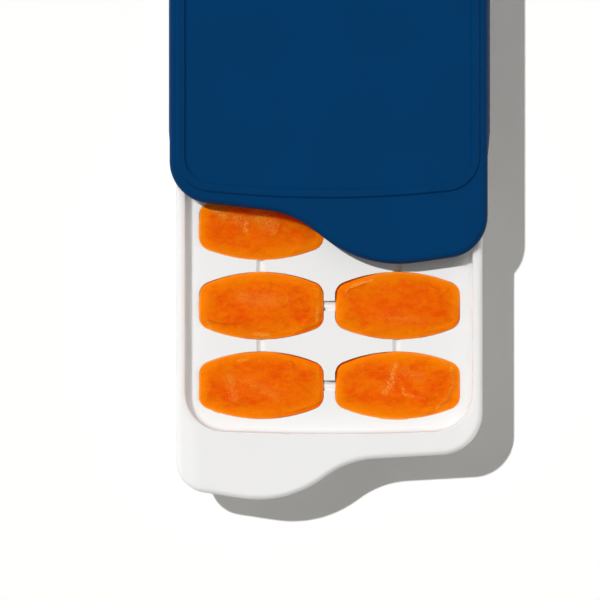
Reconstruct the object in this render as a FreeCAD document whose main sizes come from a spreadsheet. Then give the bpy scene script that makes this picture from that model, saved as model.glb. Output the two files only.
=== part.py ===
"""Freezer tray for baby food: a moulded tray of fourteen wells under a cover that slides on its rim.

Millimetres. X runs across the tray, Y along it, Z up from the surface that it stands on. The cover
is drawn back along +Y, and the origin lies below the middle of the two pieces together.
"""

import FreeCAD, Part
import math
import os
import Sketcher

ROWS = 7
COLUMNS = ("left", "right")

SIZES = (
    # alias, value, what it is
    ("well_length", 50.0, "mouth of a well, across the tray"),
    ("well_width", 27.1, "mouth of a well at its middle, along the tray"),
    ("well_depth", 23.7, "deck down to the floor of a well"),
    ("well_corner_radius", 5.3, "corners of the mouth"),
    ("well_side_radius", 58.0, "bow of the mouth's long sides"),
    ("well_end_height", 1.0, "upright end of a well, above its round floor"),
    ("row_web", 4.8, "deck between two rows, at its narrowest"),
    ("column_web", 4.6, "deck between the two columns"),
    ("deck_side", 5.3, "deck between the wells and the side of the recess"),
    ("deck_end", 5.85, "deck between the last row and the end of the recess"),
    ("channel_width", 4.0, "link channel between two wells"),
    ("channel_depth", 3.9, "link channel below the deck"),
    ("tray_wall", 1.6, "walls, deck and floors of the tray"),
    ("foot_depth", 0.5, "height cut off the round floors, which the tray stands on"),
    ("recess_depth", 6.2, "rim down to the deck"),
    ("recess_corner_radius", 16.0, "corners of the recess"),
    ("recess_end_radius", 1000.0, "bow of the recess's ends"),
    ("recess_draft", 4.0, "lean of the recess wall, in degrees"),
    ("recess_floor_radius", 2.0, "recess wall into the deck"),
    ("recess_lip_radius", 0.4, "rim into the recess wall"),
    ("rim_width", 3.8, "recess out to the edge of the rim, along the sides"),
    ("flange_thickness", 2.6, "rim flange and grips"),
    ("flange_edge_radius", 2.2, "upper edge of the rim and grips"),
    ("grip_corner_out", 21.9, "corner beside the grip, out from the recess's end"),
    ("grip_corner_radius", 13.2, "rounding of that corner"),
    ("grip_tip_x", 17.0, "end of the grip's outer edge, off the middle line"),
    ("grip_tip_out", 28.5, "end of the grip's outer edge, out from the recess's end"),
    ("grip_tip_radius", 44.4, "rounded end of the grip"),
    ("grip_root_x", 7.7, "inner bend of the S, off the middle line"),
    ("grip_root_out", 10.5, "inner bend of the S, out from the recess's end"),
    ("grip_root_radius", 36.0, "inner bend of the S"),
    ("shoulder_out", 7.4, "corner away from the grip, out from the recess's end"),
    ("shoulder_radius", 17.0, "rounding of that corner"),
    ("cover_pull", 94.4, "how far the cover is drawn back"),
    ("cover_height", 5.2, "cover, from the foot of its skirt to its top"),
    ("cover_wall", 2.2, "plate and skirt of the cover"),
    ("cover_edge_radius", 2.5, "upper edge of the cover"),
    ("cover_gap", 0.3, "rim up to the underside of the cover"),
    ("lobe_corner_out", 21.9, "corner beside the cover's lobe, out from the recess's end"),
    ("lobe_corner_radius", 17.0, "rounding of that corner"),
    ("lobe_tip_x", 14.5, "end of the lobe's outer edge, off the middle line"),
    ("lobe_tip_out", 28.7, "end of the lobe's outer edge, out from the recess's end"),
    ("lobe_tip_radius", 48.0, "rounded end of the lobe"),
    ("lobe_root_x", 14.5, "inner bend of the S, off the middle line"),
    ("lobe_root_out", 6.1, "inner bend of the S, out from the recess's end"),
    ("lobe_root_radius", 40.0, "inner bend of the S"),
    ("cover_shoulder_out", 0.3, "corner away from the lobe, out from the recess's end"),
    ("cover_shoulder_radius", 17.0, "rounding of that corner"),
    ("bead_inset", 2.9, "cover's edge to the outside of its bead"),
    ("bead_out", 0.2, "end of the bead, out from the recess's end"),
    ("bead_corner_radius", 14.0, "corners of the bead's outline"),
    ("bead_end_radius", 440.0, "bow of the bead's ends"),
    ("bead_width", 3.8, "bead across"),
    ("bead_height", 0.8, "bead above the cover"),
    ("bead_chamfer", 0.6, "both upper edges of the bead"),
    ("rail_gap", 0.5, "rim's edge to the inside of a rail"),
    ("rail_wall", 1.7, "rail beside the rim"),
    ("rail_flare", 0.9, "foot of a rail outside the cover's edge"),
    ("rail_step", 0.15, "top of a rail outside the cover's edge"),
    ("rail_set_back", 0.6, "cover's rounded corner back to the end of a rail"),
    ("rail_run_out", 9.4, "each tapered end of a rail"),
    ("rail_rise", 0.9, "top of the flare above the cover's underside"),
    ("rail_edge_radius", 0.8, "lower outer edge of a rail"),
    ("hook_reach", 1.5, "hook under the rim, and ledge over it"),
    ("hook_thickness", 2.2, "hook"),
    ("hook_gap", 0.4, "hook up to the underside of the rim"),
    ("portion_gap", 0.3, "well's wall to the frozen food"),
    ("portion_rise", 0.5, "top of the food above the deck"),
)

# the grid of wells
HALF_WELL = "(Sizes.well_length / 2)"
ROW_PITCH = "(Sizes.well_width + Sizes.row_web)"
COLUMN_PITCH = "(Sizes.well_length + Sizes.column_web)"
FIRST_COLUMN = f"(-{COLUMN_PITCH} / 2)"
FIRST_ROW = f"(-{ROW_PITCH} * {(ROWS - 1) / 2})"

# distances from the middle lines
RECESS_SIDE = f"({COLUMN_PITCH} / 2 + {HALF_WELL} + Sizes.deck_side)"
RECESS_END = f"({ROW_PITCH} * {(ROWS - 1) / 2} + Sizes.well_width / 2 + Sizes.deck_end)"
TRAY_EDGE = f"({RECESS_SIDE} + Sizes.rim_width)"
RAIL_INSIDE = f"({TRAY_EDGE} + Sizes.rail_gap)"
COVER_EDGE = f"({RAIL_INSIDE} + Sizes.rail_wall)"
HOOK_INSIDE = f"({TRAY_EDGE} - Sizes.hook_reach)"
COVER_SHOULDER = f"({RECESS_END} + Sizes.cover_shoulder_out)"
RAIL_END = f"({COVER_SHOULDER} - Sizes.cover_shoulder_radius - Sizes.rail_set_back)"
RAIL_HALF = f"({RAIL_END} - Sizes.rail_run_out)"

# heights above the surface that the tray stands on
DECK = "(Sizes.well_depth + Sizes.tray_wall - Sizes.foot_depth)"
DECK_UNDERSIDE = f"({DECK} - Sizes.tray_wall)"
RIM = f"({DECK} + Sizes.recess_depth)"
FLANGE_UNDERSIDE = f"({RIM} - Sizes.flange_thickness)"
COVER_UNDERSIDE = f"({RIM} + Sizes.cover_gap)"
COVER_TOP = f"({COVER_UNDERSIDE} + Sizes.cover_height)"
BEAD_TOP = f"({COVER_TOP} + Sizes.bead_height)"
HOOK_TOP = f"({FLANGE_UNDERSIDE} - Sizes.hook_gap)"
HOOK_UNDERSIDE = f"({HOOK_TOP} - Sizes.hook_thickness)"
PORTION_TOP = f"({DECK} + Sizes.portion_rise)"

# a well's round floor is part of a cylinder whose axis lies this far above the deck
AXIS_RISE = (
    f"(({HALF_WELL} ^ 2 + Sizes.well_end_height ^ 2 - Sizes.well_depth ^ 2)"
    " / (2 * (Sizes.well_depth - Sizes.well_end_height)))"
)
AXIS_HEIGHT = f"({DECK} + {AXIS_RISE})"
FLOOR_RADIUS = f"(Sizes.well_depth + {AXIS_RISE})"

ROOT_POINT = (-1, 1)
VERTICAL_AXIS = -2
START, END, CENTRE = 1, 2, 3
CUT_MARGIN = 1.0  # how far a cutting profile runs past what it cuts
SAME_HEIGHT = 1e-4

doc = FreeCAD.newDocument("freezer_tray")
sheet = doc.addObject("Spreadsheet::Sheet", "Sizes")
for line, (alias, size, meaning) in enumerate(SIZES, 1):
    sheet.set(f"A{line}", meaning)
    sheet.set(f"B{line}", str(size))
    sheet.setAlias(f"B{line}", alias)
doc.recompute()


def value(expression):
    """What an expression in the sheet's sizes comes to."""
    return float(sheet.evalExpression(expression.replace("Sizes.", "")))


# ---- bodies and sketches


def new_body(name):
    body = doc.addObject("PartDesign::Body", name)
    body.Label = name
    return body


def origin_feature(body, role):
    return next(f for f in body.Origin.OriginFeatures if f.Role == role)


def new_sketch(body, name, role, x="0", y="0", z="0"):
    """A sketch on one of the body's own planes, moved by x and y in that plane and z off it."""
    sketch = body.newObject("Sketcher::SketchObject", name)
    sketch.AttachmentSupport = [(origin_feature(body, role), "")]
    sketch.MapMode = "FlatFace"
    for axis, offset in zip("xyz", (x, y, z)):
        sketch.setExpression(f"AttachmentOffset.Base.{axis}", offset)
    return sketch


def bind(sketch, constraint, name, expression):
    """Adds a constraint whose size follows an expression."""
    index = sketch.addConstraint(constraint)
    sketch.renameConstraint(index, name)
    sketch.setExpression(f"Constraints.{name}", expression)


def fix_point(sketch, geometry, end, label, x, y):
    """Holds a point at x and y, which are expressions."""
    for kind, axis, expression in (("DistanceX", "x", x), ("DistanceY", "y", y)):
        size = value(expression)
        if size < 0:
            rule = Sketcher.Constraint(kind, geometry, end, *ROOT_POINT, -size)
            bind(sketch, rule, f"{label}_{axis}", f"-({expression})")
        else:
            rule = Sketcher.Constraint(kind, *ROOT_POINT, geometry, end, size)
            bind(sketch, rule, f"{label}_{axis}", expression)


def toward(start, end, distance):
    return start + (end - start).normalize() * distance


def draw_outline(sketch, label, corners):
    """A closed outline through corners of x, y and a rounding, all expressions, or None for sharp."""
    points = [FreeCAD.Vector(value(x), value(y), 0) for x, y, _ in corners]
    trims = []
    for i, (_, _, radius) in enumerate(corners):
        back = (points[i - 1] - points[i]).getAngle(points[(i + 1) % len(points)] - points[i])
        trims.append(value(radius) / math.tan(back / 2) if radius else 0.0)
    lines = []
    for i, point in enumerate(points):
        following = (i + 1) % len(points)
        start = toward(point, points[following], trims[i])
        end = toward(points[following], point, trims[following])
        lines.append(sketch.addGeometry(Part.LineSegment(start, end), False))
    for i, (x, y, radius) in enumerate(corners):
        before, after = lines[i - 1], lines[i]
        if radius is None:
            sketch.addConstraint(Sketcher.Constraint("Coincident", before, END, after, START))
            fix_point(sketch, after, START, f"{label}{i}", x, y)
            continue
        arrive = toward(points[i], points[i - 1], trims[i])
        leave = toward(points[i], points[(i + 1) % len(points)], trims[i])
        middle = (arrive + leave) / 2
        size = value(radius)
        outward = (points[i] - middle).normalize()
        centre = points[i] - outward * math.hypot(size, trims[i])
        arc_middle = centre + outward * size
        arc = sketch.addGeometry(Part.Arc(arrive, arc_middle, leave), False)
        turns_left = (leave - arrive).cross(points[i] - arrive).z < 0
        first, last = (START, END) if turns_left else (END, START)
        sketch.addConstraint(Sketcher.Constraint("Tangent", before, END, arc, first))
        sketch.addConstraint(Sketcher.Constraint("Tangent", arc, last, after, START))
        bind(sketch, Sketcher.Constraint("Radius", arc, size), f"{label}{i}_radius", radius)
        corner = sketch.addGeometry(Part.Point(points[i]), True)
        fix_point(sketch, corner, START, f"{label}{i}", x, y)
        for edge in (before, after):
            sketch.addConstraint(Sketcher.Constraint("PointOnObject", corner, START, edge))


def draw_barrel(sketch, label, half_x, half_y, corner, bow):
    """Straight sides at half_x, bowed sides that reach half_y, and four equal round corners."""
    across, along, small, large = (value(e) for e in (half_x, half_y, corner, bow))
    bow_centre = large - along
    corner_x = across - small
    corner_y = math.sqrt((large - small) ** 2 - corner_x**2) - bow_centre
    meet = math.atan2(corner_y + bow_centre, corner_x)
    turn = math.pi

    def arc(x, y, radius, start, end):
        circle = Part.Circle(FreeCAD.Vector(x, y, 0), FreeCAD.Vector(0, 0, 1), radius)
        return Part.ArcOfCircle(circle, start, end)

    def side(x, start, end):
        return Part.LineSegment(FreeCAD.Vector(x, start, 0), FreeCAD.Vector(x, end, 0))

    edges = sketch.addGeometry(
        [
            side(across, -corner_y, corner_y),
            arc(corner_x, corner_y, small, 0, meet),
            arc(0, -bow_centre, large, meet, turn - meet),
            arc(-corner_x, corner_y, small, turn - meet, turn),
            side(-across, corner_y, -corner_y),
            arc(-corner_x, -corner_y, small, turn, turn + meet),
            arc(0, bow_centre, large, turn + meet, 2 * turn - meet),
            arc(corner_x, -corner_y, small, 2 * turn - meet, 2 * turn),
        ],
        False,
    )
    right, corner_a, top, corner_b, left, corner_c, bottom, corner_d = edges
    for before, after in zip(edges, edges[1:] + edges[:1]):
        sketch.addConstraint(Sketcher.Constraint("Tangent", before, END, after, START))
    for edge in (right, left):
        sketch.addConstraint(Sketcher.Constraint("Vertical", edge))
    for other in (corner_b, corner_c, corner_d):
        sketch.addConstraint(Sketcher.Constraint("Equal", corner_a, other))
    sketch.addConstraint(Sketcher.Constraint("Equal", top, bottom))
    for bowed in (top, bottom):
        sketch.addConstraint(Sketcher.Constraint("PointOnObject", bowed, CENTRE, VERTICAL_AXIS))
    bind(sketch, Sketcher.Constraint("Radius", corner_a, small), f"{label}_corner", corner)
    bind(sketch, Sketcher.Constraint("Radius", top, large), f"{label}_bow", bow)
    offset = f"{bow} - {half_y}"
    reach = Sketcher.Constraint("DistanceX", *ROOT_POINT, right, START, across)
    bind(sketch, reach, f"{label}_right", half_x)
    reach = Sketcher.Constraint("DistanceX", left, START, *ROOT_POINT, across)
    bind(sketch, reach, f"{label}_left", half_x)
    reach = Sketcher.Constraint("DistanceY", top, CENTRE, *ROOT_POINT, bow_centre)
    bind(sketch, reach, f"{label}_top", offset)
    reach = Sketcher.Constraint("DistanceY", *ROOT_POINT, bottom, CENTRE, bow_centre)
    bind(sketch, reach, f"{label}_bottom", offset)


# ---- features


def extrude(body, kind, name, sketch, length, both_ways=False, reverse=False, draft=None):
    """A Pad or a Pocket of a sketch, by a length that is an expression."""
    feature = body.newObject(f"PartDesign::{kind}", name)
    feature.Profile = sketch
    feature.setExpression("Length", length)
    feature.Midplane = both_ways
    feature.Reversed = reverse
    if draft:
        feature.setExpression("TaperAngle", draft)
    sketch.Visibility = False
    return feature


def level(edge, height):
    """Whether an edge lies all at one height, which is an expression."""
    box = edge.BoundBox
    return max(abs(box.ZMin - value(height)), abs(box.ZMax - value(height))) < SAME_HEIGHT


def outside(edge, half_x, half_y):
    """Whether an edge's ends or middle come outside a rectangle of two expressions."""
    points = edge.discretize(3)
    return any(abs(p.x) > value(half_x) or abs(p.y) > value(half_y) for p in points)


def dress_edges(body, kind, name, wanted, size):
    """A Fillet or a Chamfer of the edges for which wanted(edge) holds; size is an expression."""
    doc.recompute()
    base = body.Tip
    edges = [f"Edge{i}" for i, edge in enumerate(base.Shape.Edges, 1) if wanted(edge)]
    if not edges:
        raise RuntimeError(f"{name}: no edges to dress")
    feature = body.newObject(f"PartDesign::{kind}", name)
    feature.Base = (base, edges)
    feature.setExpression("Radius" if kind == "Fillet" else "Size", size)


def half_moon(body, name, grow, top, floor_top, x, y):
    """The form of one well, grown by an expression: a barrel-shaped block on a round floor."""
    mouth = new_sketch(body, f"{name}_mouth", "XY_Plane", x, y, top)
    draw_barrel(
        mouth,
        "mouth",
        f"({HALF_WELL} + {grow})",
        f"(Sizes.well_width / 2 + {grow})",
        f"(Sizes.well_corner_radius + {grow})",
        f"(Sizes.well_side_radius + {grow})",
    )
    block = extrude(body, "Pad", f"{name}_block", mouth, top, reverse=True)
    section = new_sketch(body, f"{name}_section", "XZ_Plane", x, AXIS_HEIGHT, f"-{y}")
    radius = f"({FLOOR_RADIUS} + {grow})"
    rise = f"({floor_top} - {AXIS_HEIGHT})"
    below = f"(-{AXIS_HEIGHT} - {CUT_MARGIN})"
    beside = f"({COLUMN_PITCH} / 2)"
    reach = f"sqrt({radius} ^ 2 - {rise} ^ 2)"
    size, high, low, wide, foot = (value(e) for e in (radius, rise, below, beside, reach))
    start, end = math.atan2(high, -foot) % (2 * math.pi), math.atan2(high, foot) % (2 * math.pi)
    circle = Part.Circle(FreeCAD.Vector(), FreeCAD.Vector(0, 0, 1), size)
    floor = section.addGeometry(Part.ArcOfCircle(circle, start, end), False)
    path = ((foot, high), (wide, high), (wide, low), (-wide, low), (-wide, high), (-foot, high))
    points = [FreeCAD.Vector(a, b, 0) for a, b in path]
    pieces = [Part.LineSegment(a, b) for a, b in zip(points, points[1:])]
    lines = section.addGeometry(pieces, False)
    section.addConstraint(Sketcher.Constraint("Coincident", floor, CENTRE, *ROOT_POINT))
    section.addConstraint(Sketcher.Constraint("Coincident", floor, END, lines[0], START))
    for before, after in zip(lines, lines[1:]):
        section.addConstraint(Sketcher.Constraint("Coincident", before, END, after, START))
    section.addConstraint(Sketcher.Constraint("Coincident", lines[-1], END, floor, START))
    for line in (lines[0], lines[4]):
        section.addConstraint(Sketcher.Constraint("Horizontal", line))
    bind(section, Sketcher.Constraint("Radius", floor, size), "floor", radius)
    fix_point(section, lines[1], START, "high_right", beside, rise)
    fix_point(section, lines[2], START, "low_right", beside, below)
    fix_point(section, lines[3], START, "low_left", f"(-{beside})", below)
    fix_point(section, lines[4], START, "high_left", f"(-{beside})", rise)
    hollow = extrude(body, "Pocket", f"{name}_underside", section, ROW_PITCH, both_ways=True)
    return block, hollow


def add_pattern(body, name, role, spacing, count):
    """Equal steps along one of the body's axes, bound to the size of a step."""
    pattern = body.newObject("PartDesign::LinearPattern", name)
    pattern.Direction = (origin_feature(body, role), [""])
    pattern.Mode = "Spacing"
    pattern.setExpression("Offset", spacing)
    pattern.Occurrences = count
    return pattern


def over_all_wells(body, name, originals):
    """Repeats features from the first well to every row and column."""
    grid = body.newObject("PartDesign::MultiTransform", name)
    grid.Originals = list(originals)
    grid.Transformations = [
        add_pattern(body, f"{name}_rows", "Y_Axis", ROW_PITCH, ROWS),
        add_pattern(body, f"{name}_columns", "X_Axis", COLUMN_PITCH, len(COLUMNS)),
    ]
    body.Tip = grid
    return grid


def end_outline(side, edge, names):
    """Corners of a piece whose two ends are the same S, half a turn apart; side is -1 or 1."""
    corner, tip, root, shoulder = names
    lobe, other = ("-", "") if side < 0 else ("", "-")
    near_end = [
        (f"({x})", f"(-{RECESS_END} - Sizes.{name}_out)", f"Sizes.{name}_radius")
        for x, name in (
            (f"{lobe}{edge}", corner),
            (f"{lobe}Sizes.{tip}_x", tip),
            (f"{other}Sizes.{root}_x", root),
            (f"{other}{edge}", shoulder),
        )
    ]
    far_end = [(f"(-{x})", f"(-{y})", radius) for x, y, radius in near_end]
    return near_end + far_end


# ---- the tray


def add_link_channels(body, name, kind, half_width, top, length):
    """Straight runs between the middles of neighbouring wells, along the columns and the rows."""
    last_row, last_column = f"(-{FIRST_ROW})", f"(-{FIRST_COLUMN})"
    for column, x in zip(COLUMNS, (FIRST_COLUMN, last_column)):
        run = new_sketch(body, f"{name}_{column}", "XY_Plane", x, "0", top)
        corners = [
            (f"(-{half_width})", FIRST_ROW, None),
            (half_width, FIRST_ROW, None),
            (half_width, last_row, None),
            (f"(-{half_width})", last_row, None),
        ]
        draw_outline(run, "run", corners)
        extrude(body, kind, f"{name}_column_{column}", run, length, reverse=kind == "Pad")
    cross = new_sketch(body, f"{name}_cross", "XY_Plane", "0", FIRST_ROW, top)
    corners = [
        (FIRST_COLUMN, f"(-{half_width})", None),
        (last_column, f"(-{half_width})", None),
        (last_column, half_width, None),
        (FIRST_COLUMN, half_width, None),
    ]
    draw_outline(cross, "run", corners)
    first = extrude(body, kind, f"{name}_row", cross, length, reverse=kind == "Pad")
    pattern = add_pattern(body, f"{name}_rows", "Y_Axis", ROW_PITCH, ROWS)
    pattern.Originals = [first]
    body.Tip = pattern


def build_cavities():
    """The space inside all fourteen wells, which the tray is cut by."""
    body = new_body("well_cavities")
    body.AllowCompound = True
    above = f"({DECK} + {CUT_MARGIN})"
    forms = half_moon(body, "cavity", "0", above, DECK, FIRST_COLUMN, FIRST_ROW)
    over_all_wells(body, "cavities", forms)
    return body


def build_tray(cavities):
    body = new_body("freezer_tray")
    rim = new_sketch(body, "rim_outline", "XY_Plane", z=RIM)
    names = ("grip_corner", "grip_tip", "grip_root", "shoulder")
    draw_outline(rim, "rim", end_outline(-1, TRAY_EDGE, names))
    extrude(body, "Pad", "rim_plate", rim, "Sizes.flange_thickness", reverse=True)

    pan = new_sketch(body, "pan_outline", "XY_Plane", z=RIM)
    draw_barrel(
        pan,
        "pan",
        f"({RECESS_SIDE} + Sizes.tray_wall)",
        f"({RECESS_END} + Sizes.tray_wall)",
        "(Sizes.recess_corner_radius + Sizes.tray_wall)",
        "(Sizes.recess_end_radius + Sizes.tray_wall)",
    )
    pan_height = "(Sizes.recess_depth + Sizes.tray_wall)"
    lean = "-Sizes.recess_draft"
    extrude(body, "Pad", "pan", pan, pan_height, reverse=True, draft=lean)

    shells = half_moon(
        body, "shell", "Sizes.tray_wall", DECK, DECK_UNDERSIDE, FIRST_COLUMN, FIRST_ROW
    )
    over_all_wells(body, "shells", shells)
    bed_half = "(Sizes.channel_width / 2 + Sizes.tray_wall)"
    bed_height = "(Sizes.channel_depth + Sizes.tray_wall)"
    add_link_channels(body, "bed", "Pad", bed_half, DECK, bed_height)

    recess = new_sketch(body, "recess_outline", "XY_Plane", z=RIM)
    draw_barrel(
        recess,
        "recess",
        RECESS_SIDE,
        RECESS_END,
        "Sizes.recess_corner_radius",
        "Sizes.recess_end_radius",
    )
    extrude(body, "Pocket", "recess", recess, "Sizes.recess_depth", draft=lean)

    wells = body.newObject("PartDesign::Boolean", "wells")
    wells.Type = "Cut"
    wells.Group = [cavities]
    link_half = "(Sizes.channel_width / 2)"
    add_link_channels(body, "link", "Pocket", link_half, DECK, "Sizes.channel_depth")

    # along the middle of the rim, and between the wells and the side of the recess
    rim_line = (f"({RECESS_SIDE} + Sizes.rim_width / 2)", f"({RECESS_END} + Sizes.rim_width / 2)")
    deck_line = (f"({RECESS_SIDE} - Sizes.deck_side / 2)", f"({RECESS_END} - Sizes.deck_end / 2)")
    dress_edges(
        body,
        "Fillet",
        "rim_edge",
        lambda edge: level(edge, RIM) and outside(edge, *rim_line),
        "Sizes.flange_edge_radius",
    )
    dress_edges(
        body,
        "Fillet",
        "recess_lip",
        lambda edge: level(edge, RIM) and not outside(edge, *rim_line),
        "Sizes.recess_lip_radius",
    )
    dress_edges(
        body,
        "Fillet",
        "recess_floor",
        lambda edge: level(edge, DECK) and outside(edge, *deck_line),
        "Sizes.recess_floor_radius",
    )
    body.setExpression("Placement.Base.y", "-Sizes.cover_pull / 2")
    return body


# ---- the cover


def add_shell(body):
    """The cover's plate and the skirt round it, open below, with a rounded upper edge."""
    outline = new_sketch(body, "cover_outline", "XY_Plane", z=COVER_UNDERSIDE)
    names = ("lobe_corner", "lobe_tip", "lobe_root", "cover_shoulder")
    draw_outline(outline, "cover", end_outline(1, COVER_EDGE, names)[::-1])
    block = extrude(body, "Pad", "block", outline, "Sizes.cover_height")
    doc.recompute()
    foot = value(COVER_UNDERSIDE) + SAME_HEIGHT
    below = [f"Face{i}" for i, face in enumerate(block.Shape.Faces, 1) if face.CenterOfMass.z < foot]
    hollow = body.newObject("PartDesign::Thickness", "hollow")
    hollow.Base = (block, below)
    hollow.Reversed = True
    hollow.Join = "Intersection"
    hollow.setExpression("Value", "Sizes.cover_wall")
    dress_edges(
        body,
        "Fillet",
        "cover_edge",
        lambda edge: level(edge, COVER_TOP),
        "Sizes.cover_edge_radius",
    )


def add_bead(body):
    """The raised line round the middle of the plate, on the recess's outline below."""
    half_width = f"({COVER_EDGE} - Sizes.bead_inset)"
    bead = new_sketch(body, "bead_outline", "XY_Plane", z=COVER_TOP)
    for label, inset in (("outer", "0"), ("inner", "Sizes.bead_width")):
        draw_barrel(
            bead,
            label,
            f"({half_width} - {inset})",
            f"({RECESS_END} + Sizes.bead_out - {inset})",
            f"(Sizes.bead_corner_radius - {inset})",
            f"(Sizes.bead_end_radius - {inset})",
        )
    extrude(body, "Pad", "bead", bead, "Sizes.bead_height")
    dress_edges(
        body,
        "Chamfer",
        "bead_edges",
        lambda edge: level(edge, BEAD_TOP),
        "Sizes.bead_chamfer",
    )


def rail_section(body, name, mirror, flare, height):
    """A level section of a rail, that much outside the cover's edge between its tapered ends."""
    section = new_sketch(body, name, "XY_Plane", z=height)
    outside_face = f"({COVER_EDGE} + {flare})"
    corners = [
        (f"({mirror}{RAIL_INSIDE})", f"(-{RAIL_END})", None),
        (f"({mirror}{COVER_EDGE})", f"(-{RAIL_END})", None),
        (f"({mirror}{outside_face})", f"(-{RAIL_HALF})", None),
        (f"({mirror}{outside_face})", RAIL_HALF, None),
        (f"({mirror}{COVER_EDGE})", RAIL_END, None),
        (f"({mirror}{RAIL_INSIDE})", RAIL_END, None),
    ]
    draw_outline(section, "rail", corners)
    section.Visibility = False
    return section


def add_rail(body, side, mirror):
    """One side's rail: the wall beside the rim, leaning outwards to its foot, the hook under the
    rim and a ledge over it that is as high as the skirt."""
    wall = body.newObject("PartDesign::AdditiveLoft", f"rail_{side}")
    wall.Profile = rail_section(body, f"rail_{side}_foot", mirror, "Sizes.rail_flare", HOOK_UNDERSIDE)
    top = f"({COVER_UNDERSIDE} + Sizes.rail_rise)"
    wall.Sections = [rail_section(body, f"rail_{side}_top", mirror, "Sizes.rail_step", top)]
    wall.Ruled = True
    corners = [
        (f"({mirror}{HOOK_INSIDE})", f"(-{RAIL_HALF})", None),
        (f"({mirror}{COVER_EDGE})", f"(-{RAIL_HALF})", None),
        (f"({mirror}{COVER_EDGE})", RAIL_HALF, None),
        (f"({mirror}{HOOK_INSIDE})", RAIL_HALF, None),
    ]
    for name, foot, height in (
        ("hook", HOOK_UNDERSIDE, "Sizes.hook_thickness"),
        ("ledge", COVER_UNDERSIDE, "(Sizes.cover_height - Sizes.cover_wall)"),
    ):
        strip = new_sketch(body, f"{name}_{side}_outline", "XY_Plane", z=foot)
        draw_outline(strip, name, corners)
        extrude(body, "Pad", f"{name}_{side}", strip, height)


def build_cover():
    body = new_body("sliding_cover")
    add_shell(body)
    add_bead(body)
    add_rail(body, "left", "-")
    add_rail(body, "right", "")
    # the rails' lower edges on the outside, with their tapered ends
    flare_line = (f"({COVER_EDGE} + Sizes.rail_flare / 4)", COVER_SHOULDER)
    dress_edges(
        body,
        "Fillet",
        "rail_edges",
        lambda edge: level(edge, HOOK_UNDERSIDE) and outside(edge, *flare_line),
        "Sizes.rail_edge_radius",
    )
    body.setExpression("Placement.Base.y", "Sizes.cover_pull / 2")
    return body


# ---- the frozen food


def build_portion(row, column, x):
    body = new_body(f"portion_row{row + 1}_{column}")
    y = f"({FIRST_ROW} + {ROW_PITCH} * {row})"
    half_moon(body, body.Label, "(-Sizes.portion_gap)", PORTION_TOP, DECK, x, y)
    body.setExpression("Placement.Base.y", "-Sizes.cover_pull / 2")
    return body


def build():
    cavities = build_cavities()
    doc.recompute()
    pieces = [build_tray(cavities), build_cover()]
    for column, x in zip(COLUMNS, (FIRST_COLUMN, f"(-{FIRST_COLUMN})")):
        for row in range(ROWS):
            pieces.append(build_portion(row, column, x))
    doc.recompute()
    return pieces


def check(pieces):
    """Stops if any object failed, or a piece isn't one sound solid."""
    for item in doc.Objects:
        if "Invalid" in item.State or "Error" in item.State:
            raise RuntimeError(f"{item.Label} failed: {item.State}")
    for piece in pieces:
        shape = piece.Shape
        if shape.isNull() or not shape.isValid() or len(shape.Solids) != 1:
            raise RuntimeError(f"{piece.Label} is not one valid solid")


pieces = build()
check(pieces)
os.makedirs("parts", exist_ok=True)
for piece in pieces:
    piece.Shape.exportStep(f"parts/{piece.Label}.step")
    box = piece.Shape.BoundBox
    size = f"{box.XLength:.1f} x {box.YLength:.1f} x {box.ZLength:.1f} mm"
    print(f"{piece.Label}: {size}, {piece.Shape.Volume / 1000:.2f} ml")
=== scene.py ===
"""Freezer tray for baby food: tray and cover in moulded plastic, and the frozen puree in the wells.

Metres, in the frame's axes: X across the tray, Y along it and Z up from the surface it stands on.
"""

import math

import bpy
import numpy as np
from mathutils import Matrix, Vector, noise


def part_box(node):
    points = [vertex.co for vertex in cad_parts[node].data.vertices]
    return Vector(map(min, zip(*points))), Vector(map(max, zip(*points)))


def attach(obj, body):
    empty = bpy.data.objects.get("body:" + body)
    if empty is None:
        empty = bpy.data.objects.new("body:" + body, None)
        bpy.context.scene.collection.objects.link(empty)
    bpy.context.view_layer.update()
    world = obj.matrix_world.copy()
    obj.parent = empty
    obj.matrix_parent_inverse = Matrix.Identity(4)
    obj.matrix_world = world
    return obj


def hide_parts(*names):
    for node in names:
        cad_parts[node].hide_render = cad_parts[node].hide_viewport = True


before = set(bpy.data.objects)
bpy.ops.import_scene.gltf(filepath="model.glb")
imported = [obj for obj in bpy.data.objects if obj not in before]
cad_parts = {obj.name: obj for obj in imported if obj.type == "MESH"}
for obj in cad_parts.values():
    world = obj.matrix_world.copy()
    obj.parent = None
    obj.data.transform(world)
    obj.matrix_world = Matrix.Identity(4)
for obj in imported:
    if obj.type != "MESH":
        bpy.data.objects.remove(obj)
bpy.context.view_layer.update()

bl_info = {
    "name": "Baby food freezer tray",
    "version": (1, 0, 0),
    "blender": (4, 5, 0),
    "location": "3D View > Sidebar > Freezer tray",
    "description": "Models and finishes a freezer tray, its sliding cover and the frozen portions",
    "category": "Object",
}

MM = 0.001
ROWS = 7
COLUMNS = ("left", "right")
TRAY_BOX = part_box("freezer_tray")

# The frame's own sizes, which its nodes' boxes don't give.
FRAME_CHANNEL_DEPTH = 3.9 * MM
FRAME_CHANNEL_WIDTH = 4.0 * MM
FRAME_PORTION_RISE = 0.5 * MM  # a portion's top above the deck


# ---- sizes and colours that a user would change


def number(name, description, default, **kind):
    return bpy.props.FloatProperty(name=name, description=description, default=default, **kind)


def length(name, description, default):
    return number(name, description, default, min=0.0, unit="LENGTH", precision=5)


def share(name, description, default):
    return number(name, description, default, min=0.0, max=1.0, subtype="FACTOR")


def colour(name, description, default):
    return bpy.props.FloatVectorProperty(
        name=name,
        description=description,
        default=default,
        size=3,
        min=0.0,
        max=1.0,
        subtype="COLOR",
    )


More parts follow.
